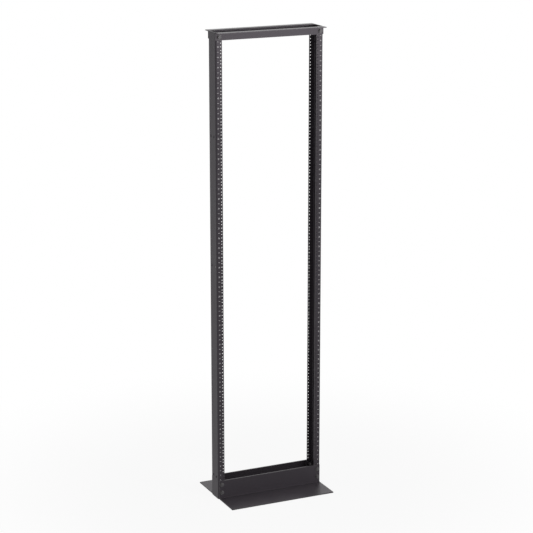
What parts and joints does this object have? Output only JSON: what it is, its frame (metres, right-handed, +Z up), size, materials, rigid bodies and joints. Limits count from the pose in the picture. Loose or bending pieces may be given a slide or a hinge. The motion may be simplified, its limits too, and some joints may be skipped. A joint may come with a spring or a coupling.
{
  "type": "two post open frame rack",
  "caption": "Floor-standing open frame of two steel channel posts with unit-spaced equipment holes, joined by bolted angles at base and top.",
  "frame": {"origin": "centre of the footprint on the floor", "axes": "+Z up, +X to the right seen from the front, -Y towards the front"},
  "size_m": [0.516, 0.374, 2.1336],
  "materials": {
    "uprights": "satin black powder coat over formed steel sheet",
    "base_angles": "satin black powder coat over formed steel plate",
    "top_angles": "satin black powder coat over formed steel plate",
    "bolts": "black-finished steel fasteners, slightly glossier than the frame",
    "washers": "black-finished steel washers"
  },
  "bodies": {
    "root": {"left_upright": "uprights", "right_upright": "uprights", "front_base_angle": "base_angles", "rear_base_angle": "base_angles", "front_top_angle": "top_angles", "rear_top_angle": "top_angles", "front_left_top_bolt": "bolts", "front_left_base_upper_bolt": "bolts", "front_left_base_lower_bolt": "bolts", "front_right_top_bolt": "bolts", "front_right_base_upper_bolt": "bolts", "front_right_base_lower_bolt": "bolts", "rear_left_top_bolt": "bolts", "rear_left_base_upper_bolt": "bolts", "rear_left_base_lower_bolt": "bolts", "rear_right_top_bolt": "bolts", "rear_right_base_upper_bolt": "bolts", "rear_right_base_lower_bolt": "bolts", "front_left_top_washer": "washers", "front_left_base_upper_washer": "washers", "front_left_base_lower_washer": "washers", "front_right_top_washer": "washers", "front_right_base_upper_washer": "washers", "front_right_base_lower_washer": "washers", "rear_left_top_washer": "washers", "rear_left_base_upper_washer": "washers", "rear_left_base_lower_washer": "washers", "rear_right_top_washer": "washers", "rear_right_base_upper_washer": "washers", "rear_right_base_lower_washer": "washers", "front_left_top_nut": "bolts", "front_left_base_upper_nut": "bolts", "front_left_base_lower_nut": "bolts", "front_right_top_nut": "bolts", "front_right_base_upper_nut": "bolts", "front_right_base_lower_nut": "bolts", "rear_left_top_nut": "bolts", "rear_left_base_upper_nut": "bolts", "rear_left_base_lower_nut": "bolts", "rear_right_top_nut": "bolts", "rear_right_base_upper_nut": "bolts", "rear_right_base_lower_nut": "bolts"}
  },
  "joints": []
}
